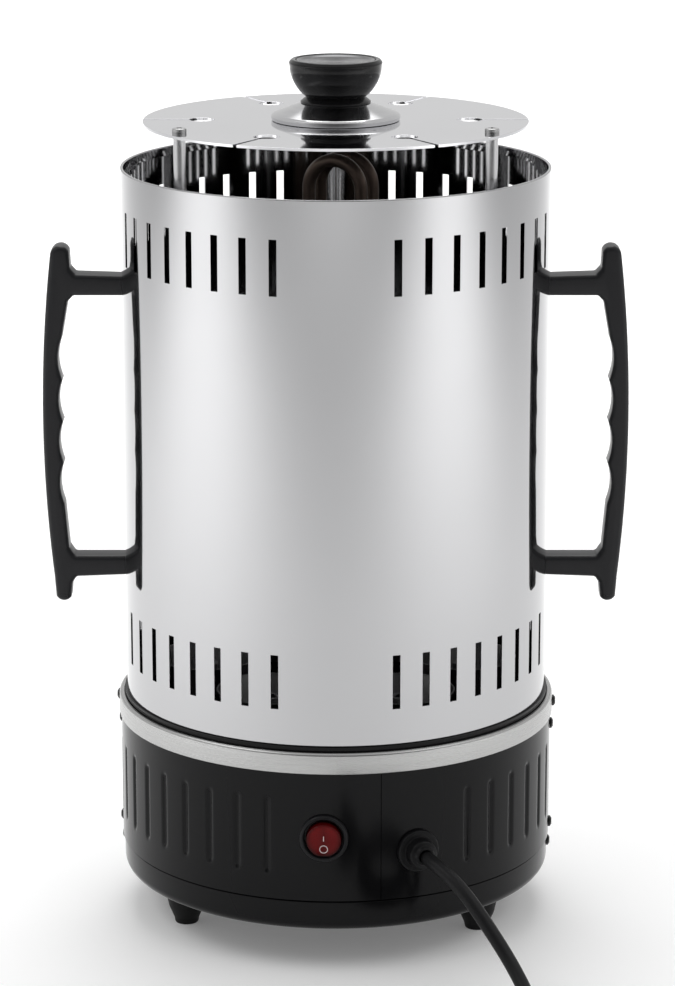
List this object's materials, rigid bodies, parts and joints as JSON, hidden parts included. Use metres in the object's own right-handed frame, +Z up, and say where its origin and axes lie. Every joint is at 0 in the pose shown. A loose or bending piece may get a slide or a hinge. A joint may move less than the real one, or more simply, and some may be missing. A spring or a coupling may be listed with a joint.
{
  "type": "electric skewer grill",
  "caption": "Upright electric skewer grill: lift-off polished casing with two handles over a central heater, motor-turned skewer spindles and drip cups on a black base with a rocker switch.",
  "frame": {"origin": "on the floor under the middle of the round body", "axes": "+X to the right handle, -Y to the front with the switch, +Z up along the axis of the casing"},
  "size_m": [0.3034, 0.4093, 0.4494],
  "materials": {
    "polished_steel": "mirror-polished stainless steel",
    "satin_steel": "fine satin stainless steel",
    "bright_trim": "brushed bright ring",
    "chrome_knob": "polished chrome plating",
    "knob_black": "glossy black moulding",
    "knob_grey": "turned grey inlay",
    "black_enamel": "glossy black enamel",
    "black_seat": "black enamelled sheet",
    "handle_black": "semi-gloss black phenolic moulding",
    "black_plastic": "black moulded plastic",
    "switch_red": "dark translucent red",
    "heater_tube": "heat-tinted steel sheath",
    "ceramic": "unglazed ceramic",
    "screw_steel": "zinc-plated steel",
    "gear_steel": "machined steel",
    "bush_brass": "plain turned brass",
    "cup_steel": "pressed stainless steel",
    "motor_zinc": "zinc-coated can",
    "cord_rubber": "black flexible sheath",
    "pin_nickel": "nickel-plated brass",
    "foot_rubber": "matt black",
    "terminal_white": "pale moulded block"
  },
  "bodies": {
    "base": {"base_band": "black_enamel", "bottom_pan": "black_enamel", "cord_coil": "cord_rubber", "cord_gland": "black_plastic", "cord_plug": "cord_rubber", "cord_run": "cord_rubber", "deck_bushes": "bush_brass", "deck_plate": "black_seat", "drive_motor": "motor_zinc", "feet": "foot_rubber", "foot_screws": "screw_steel", "gear_hub": "gear_steel", "gear_plate": "screw_steel", "heater_holder": "satin_steel", "heater_insulators": "ceramic", "heater_terminals": "screw_steel", "heating_element_front": "heater_tube", "heating_element_rear": "heater_tube", "holder_screws": "screw_steel", "knob_body": "knob_black", "knob_inlay": "knob_grey", "knob_screw": "screw_steel", "knob_skirt": "chrome_knob", "motor_screws": "screw_steel", "plate_screws": "screw_steel", "plate_spacers": "screw_steel", "plug_pins": "pin_nickel", "post_front_left": "polished_steel", "post_front_right": "polished_steel", "post_rear": "polished_steel", "post_top_screws": "screw_steel", "side_screws": "screw_steel", "switch_housing": "black_plastic", "terminal_block": "terminal_white", "top_disc": "satin_steel", "trim_ring": "bright_trim"},
    "casing": {"casing_shell": "polished_steel", "handle_left": "handle_black", "handle_right": "handle_black", "handle_screws": "screw_steel"},
    "rocker": {"switch_rocker": "switch_red"},
    "sun": {"sun_gear": "gear_steel"},
    "motor_shaft": {"motor_pinion": "gear_steel"},
    "spindle_1": {"skewer_pinion_1": "gear_steel"},
    "cup_1": {"drip_cup_1": "cup_steel"},
    "spindle_2": {"skewer_pinion_2": "gear_steel"},
    "cup_2": {"drip_cup_2": "cup_steel"},
    "spindle_3": {"skewer_pinion_3": "gear_steel"},
    "cup_3": {"drip_cup_3": "cup_steel"},
    "spindle_4": {"skewer_pinion_4": "gear_steel"},
    "cup_4": {"drip_cup_4": "cup_steel"},
    "spindle_5": {"skewer_pinion_5": "gear_steel"},
    "cup_5": {"drip_cup_5": "cup_steel"},
    "spindle_6": {"skewer_pinion_6": "gear_steel"},
    "cup_6": {"drip_cup_6": "cup_steel"}
  },
  "joints": [
    {"name": "casing_lift", "type": "slide", "parent": "base", "child": "casing", "axis": [0, 0, 1], "range_m": [0, 0.335]},
    {"name": "switch_rocker_tilt", "type": "hinge", "parent": "base", "child": "rocker", "pos_m": [-0.00585, -0.11165, 0.0726], "axis": [0.9986, -0.0523, 0], "range_deg": [-15, 0]},
    {"name": "sun_gear_spin", "type": "hinge", "parent": "base", "child": "sun", "pos_m": [0, 0, 0.102], "axis": [0, 0, 1], "continuous": true},
    {"name": "motor_pinion_spin", "type": "hinge", "parent": "base", "child": "motor_shaft", "pos_m": [0.05196, 0.03, 0.102], "axis": [0, 0, 1], "continuous": true},
    {"name": "skewer_1_spin", "type": "hinge", "parent": "base", "child": "spindle_1", "pos_m": [0.068, 0, 0.115], "axis": [0, 0, 1], "continuous": true},
    {"name": "skewer_2_spin", "type": "hinge", "parent": "base", "child": "spindle_2", "pos_m": [0.034, 0.05889, 0.115], "axis": [0, 0, 1], "continuous": true},
    {"name": "skewer_3_spin", "type": "hinge", "parent": "base", "child": "spindle_3", "pos_m": [-0.034, 0.05889, 0.115], "axis": [0, 0, 1], "continuous": true},
    {"name": "skewer_4_spin", "type": "hinge", "parent": "base", "child": "spindle_4", "pos_m": [-0.068, 0, 0.115], "axis": [0, 0, 1], "continuous": true},
    {"name": "skewer_5_spin", "type": "hinge", "parent": "base", "child": "spindle_5", "pos_m": [-0.034, -0.05889, 0.115], "axis": [0, 0, 1], "continuous": true},
    {"name": "skewer_6_spin", "type": "hinge", "parent": "base", "child": "spindle_6", "pos_m": [0.034, -0.05889, 0.115], "axis": [0, 0, 1], "continuous": true},
    {"name": "cup_1_lift", "type": "slide", "parent": "spindle_1", "child": "cup_1", "axis": [0, 0, 1], "range_m": [0, 0.04]},
    {"name": "cup_2_lift", "type": "slide", "parent": "spindle_2", "child": "cup_2", "axis": [0, 0, 1], "range_m": [0, 0.04]},
    {"name": "cup_3_lift", "type": "slide", "parent": "spindle_3", "child": "cup_3", "axis": [0, 0, 1], "range_m": [0, 0.04]},
    {"name": "cup_4_lift", "type": "slide", "parent": "spindle_4", "child": "cup_4", "axis": [0, 0, 1], "range_m": [0, 0.04]},
    {"name": "cup_5_lift", "type": "slide", "parent": "spindle_5", "child": "cup_5", "axis": [0, 0, 1], "range_m": [0, 0.04]},
    {"name": "cup_6_lift", "type": "slide", "parent": "spindle_6", "child": "cup_6", "axis": [0, 0, 1], "range_m": [0, 0.04]}
  ],
  "couplings": [
    {"joint": "motor_pinion_spin", "follows": "sun_gear_spin", "ratio": -5},
    {"joint": "skewer_1_spin", "follows": "sun_gear_spin", "ratio": -2.7778},
    {"joint": "skewer_2_spin", "follows": "sun_gear_spin", "ratio": -2.7778},
    {"joint": "skewer_3_spin", "follows": "sun_gear_spin", "ratio": -2.7778},
    {"joint": "skewer_4_spin", "follows": "sun_gear_spin", "ratio": -2.7778},
    {"joint": "skewer_5_spin", "follows": "sun_gear_spin", "ratio": -2.7778},
    {"joint": "skewer_6_spin", "follows": "sun_gear_spin", "ratio": -2.7778}
  ]
}
